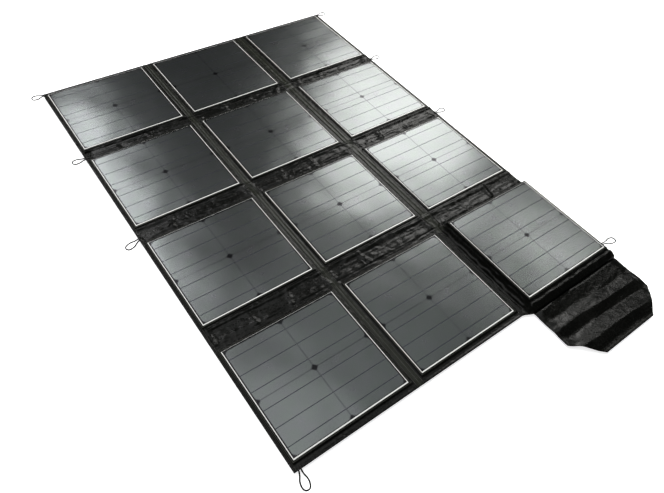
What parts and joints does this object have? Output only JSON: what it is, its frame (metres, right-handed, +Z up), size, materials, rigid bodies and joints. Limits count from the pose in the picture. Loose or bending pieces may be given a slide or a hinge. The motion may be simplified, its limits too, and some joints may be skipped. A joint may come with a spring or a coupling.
{
  "type": "folding solar blanket",
  "caption": "Folding solar blanket: fabric-sleeved mono solar panels in a grid, joined by soft fabric folds, with a raised cable pouch, cord loops and a closing flap.",
  "frame": {"origin": "bottom centre of the bounding box of the open blanket, without its cord loops", "axes": "+X from column 1 to column 3, +Y from the flap to the back row, +Z up, out of the solar faces"},
  "size_m": [1.1879, 1.7748, 0.0245],
  "materials": {
    "nylon_fabric": "glossy woven nylon, lightly puckered",
    "laminate_board": "satin front film over a black back sheet, with a thin white border line",
    "silicon_cell": "dark mono silicon under a satin film",
    "loop_cord": "matte woven cord",
    "box_plastic": "matte moulded",
    "port_plastic": "matte moulded"
  },
  "bodies": {
    "panel_r1c1": {"sleeve_r1c1": "nylon_fabric", "laminate_r1c1": "laminate_board", "cells_r1c1": "silicon_cell", "loop_left_1": "loop_cord"},
    "panel_r1c2": {"sleeve_r1c2": "nylon_fabric", "laminate_r1c2": "laminate_board", "cells_r1c2": "silicon_cell"},
    "panel_r1c3": {"sleeve_r1c3": "nylon_fabric", "laminate_r1c3": "laminate_board", "cells_r1c3": "silicon_cell", "loop_right_1": "loop_cord"},
    "panel_r2c1": {"sleeve_r2c1": "nylon_fabric", "laminate_r2c1": "laminate_board", "cells_r2c1": "silicon_cell", "loop_left_2": "loop_cord"},
    "panel_r2c2": {"sleeve_r2c2": "nylon_fabric", "laminate_r2c2": "laminate_board", "cells_r2c2": "silicon_cell"},
    "panel_r2c3": {"sleeve_r2c3": "nylon_fabric", "laminate_r2c3": "laminate_board", "cells_r2c3": "silicon_cell", "loop_right_2": "loop_cord"},
    "panel_r3c1": {"sleeve_r3c1": "nylon_fabric", "laminate_r3c1": "laminate_board", "cells_r3c1": "silicon_cell", "loop_left_3": "loop_cord"},
    "panel_r3c2": {"sleeve_r3c2": "nylon_fabric", "laminate_r3c2": "laminate_board", "cells_r3c2": "silicon_cell"},
    "panel_r3c3": {"sleeve_r3c3": "nylon_fabric", "laminate_r3c3": "laminate_board", "cells_r3c3": "silicon_cell", "loop_right_3": "loop_cord"},
    "panel_r4c1": {"sleeve_r4c1": "nylon_fabric", "laminate_r4c1": "laminate_board", "cells_r4c1": "silicon_cell", "loop_left_4": "loop_cord"},
    "panel_r4c2": {"sleeve_r4c2": "nylon_fabric", "laminate_r4c2": "laminate_board", "cells_r4c2": "silicon_cell"},
    "panel_r4c3": {"sleeve_r4c3": "nylon_fabric", "laminate_r4c3": "laminate_board", "cells_r4c3": "silicon_cell", "loop_right_4": "loop_cord", "pouch": "nylon_fabric", "junction_box": "box_plastic", "junction_box_lid": "box_plastic", "output_port": "port_plastic", "output_port_cap": "port_plastic"},
    "spine_12_c1": {"spine_12_c1": "nylon_fabric"},
    "spine_12_c2": {"spine_12_c2": "nylon_fabric"},
    "spine_12_c3": {"spine_12_c3": "nylon_fabric"},
    "spine_23_c1": {"spine_23_c1": "nylon_fabric"},
    "spine_23_c2": {"spine_23_c2": "nylon_fabric"},
    "spine_23_c3": {"spine_23_c3": "nylon_fabric"},
    "spine_34_c1": {"spine_34_c1": "nylon_fabric"},
    "spine_34_c2": {"spine_34_c2": "nylon_fabric"},
    "spine_34_c3": {"spine_34_c3": "nylon_fabric"},
    "flap_web": {"flap_web": "nylon_fabric"},
    "flap_cover": {"flap_cover": "nylon_fabric"}
  },
  "joints": [
    {"name": "row_34", "type": "hinge", "parent": "panel_r4c3", "child": "spine_34_c3", "pos_m": [0.3745, -0.30835, 0.0005], "axis": [1, 0, 0], "range_deg": [0, 90]},
    {"name": "row_34_far", "type": "hinge", "parent": "spine_34_c3", "child": "panel_r3c3", "pos_m": [0.3745, -0.24435, 0.0005], "axis": [1, 0, 0], "range_deg": [0, 90]},
    {"name": "row_23", "type": "hinge", "parent": "panel_r3c3", "child": "spine_23_c3", "pos_m": [0.3745, 0.12635, 0.0005], "axis": [1, 0, 0], "range_deg": [0, 90]},
    {"name": "row_23_far", "type": "hinge", "parent": "spine_23_c3", "child": "panel_r2c3", "pos_m": [0.3745, 0.15535, 0.0005], "axis": [1, 0, 0], "range_deg": [0, 90]},
    {"name": "row_12", "type": "hinge", "parent": "panel_r2c3", "child": "spine_12_c3", "pos_m": [0.3745, 0.51435, 0.0005], "axis": [1, 0, 0], "range_deg": [0, 90]},
    {"name": "row_12_far", "type": "hinge", "parent": "spine_12_c3", "child": "panel_r1c3", "pos_m": [0.3745, 0.52835, 0.0005], "axis": [1, 0, 0], "range_deg": [0, 90]},
    {"name": "column_23", "type": "hinge", "parent": "panel_r4c3", "child": "panel_r4c2", "pos_m": [0.1845, -0.49085, -0.0002], "axis": [0, -1, 0], "range_deg": [0, 179.95]},
    {"name": "column_23_r3", "type": "hinge", "parent": "panel_r3c3", "child": "panel_r3c2", "pos_m": [0.1845, -0.07385, -0.0002], "axis": [0, -1, 0], "range_deg": [0, 179.95]},
    {"name": "column_23_r2", "type": "hinge", "parent": "panel_r2c3", "child": "panel_r2c2", "pos_m": [0.1845, 0.32585, -0.0002], "axis": [0, -1, 0], "range_deg": [0, 179.95]},
    {"name": "column_23_r1", "type": "hinge", "parent": "panel_r1c3", "child": "panel_r1c2", "pos_m": [0.1845, 0.70885, -0.0002], "axis": [0, -1, 0], "range_deg": [0, 179.95]},
    {"name": "column_23_s34", "type": "hinge", "parent": "spine_34_c3", "child": "spine_34_c2", "pos_m": [0.1845, -0.27635, -0.0002], "axis": [0, -1, 0], "range_deg": [0, 179.95]},
    {"name": "column_23_s23", "type": "hinge", "parent": "spine_23_c3", "child": "spine_23_c2", "pos_m": [0.1845, 0.14085, -0.0002], "axis": [0, -1, 0], "range_deg": [0, 179.95]},
    {"name": "column_23_s12", "type": "hinge", "parent": "spine_12_c3", "child": "spine_12_c2", "pos_m": [0.1845, 0.52135, -0.0002], "axis": [0, -1, 0], "range_deg": [0, 179.95]},
    {"name": "column_12", "type": "hinge", "parent": "panel_r4c2", "child": "panel_r4c1", "pos_m": [-0.19, -0.49085, 0.0047], "axis": [0, 1, 0], "range_deg": [0, 179.95]},
    {"name": "column_12_r3", "type": "hinge", "parent": "panel_r3c2", "child": "panel_r3c1", "pos_m": [-0.19, -0.07385, 0.0047], "axis": [0, 1, 0], "range_deg": [0, 179.95]},
    {"name": "column_12_r2", "type": "hinge", "parent": "panel_r2c2", "child": "panel_r2c1", "pos_m": [-0.19, 0.32585, 0.0047], "axis": [0, 1, 0], "range_deg": [0, 179.95]},
    {"name": "column_12_r1", "type": "hinge", "parent": "panel_r1c2", "child": "panel_r1c1", "pos_m": [-0.19, 0.70885, 0.0047], "axis": [0, 1, 0], "range_deg": [0, 179.95]},
    {"name": "column_12_s34", "type": "hinge", "parent": "spine_34_c2", "child": "spine_34_c1", "pos_m": [-0.19, -0.27635, 0.0047], "axis": [0, 1, 0], "range_deg": [0, 179.95]},
    {"name": "column_12_s23", "type": "hinge", "parent": "spine_23_c2", "child": "spine_23_c1", "pos_m": [-0.19, 0.14085, 0.0047], "axis": [0, 1, 0], "range_deg": [0, 179.95]},
    {"name": "column_12_s12", "type": "hinge", "parent": "spine_12_c2", "child": "spine_12_c1", "pos_m": [-0.19, 0.52135, 0.0047], "axis": [0, 1, 0], "range_deg": [0, 179.95]},
    {"name": "flap", "type": "hinge", "parent": "panel_r4c3", "child": "flap_web", "pos_m": [0.3745, -0.69105, 0.0005], "axis": [-1, 0, 0], "range_deg": [0, 90]},
    {"name": "flap_far", "type": "hinge", "parent": "flap_web", "child": "flap_cover", "pos_m": [0.3745, -0.76655, 0.0005], "axis": [-1, 0, 0], "range_deg": [0, 90]}
  ],
  "couplings": [
    {"joint": "row_34_far", "follows": "row_34", "ratio": 1},
    {"joint": "row_23_far", "follows": "row_23", "ratio": 1},
    {"joint": "row_12_far", "follows": "row_12", "ratio": 1},
    {"joint": "column_23_r3", "follows": "column_23", "ratio": 1},
    {"joint": "column_23_r2", "follows": "column_23", "ratio": 1},
    {"joint": "column_23_r1", "follows": "column_23", "ratio": 1},
    {"joint": "column_23_s34", "follows": "column_23", "ratio": 1},
    {"joint": "column_23_s23", "follows": "column_23", "ratio": 1},
    {"joint": "column_23_s12", "follows": "column_23", "ratio": 1},
    {"joint": "column_12_r3", "follows": "column_12", "ratio": 1},
    {"joint": "column_12_r2", "follows": "column_12", "ratio": 1},
    {"joint": "column_12_r1", "follows": "column_12", "ratio": 1},
    {"joint": "column_12_s34", "follows": "column_12", "ratio": 1},
    {"joint": "column_12_s23", "follows": "column_12", "ratio": 1},
    {"joint": "column_12_s12", "follows": "column_12", "ratio": 1},
    {"joint": "flap_far", "follows": "flap", "ratio": 1}
  ]
}
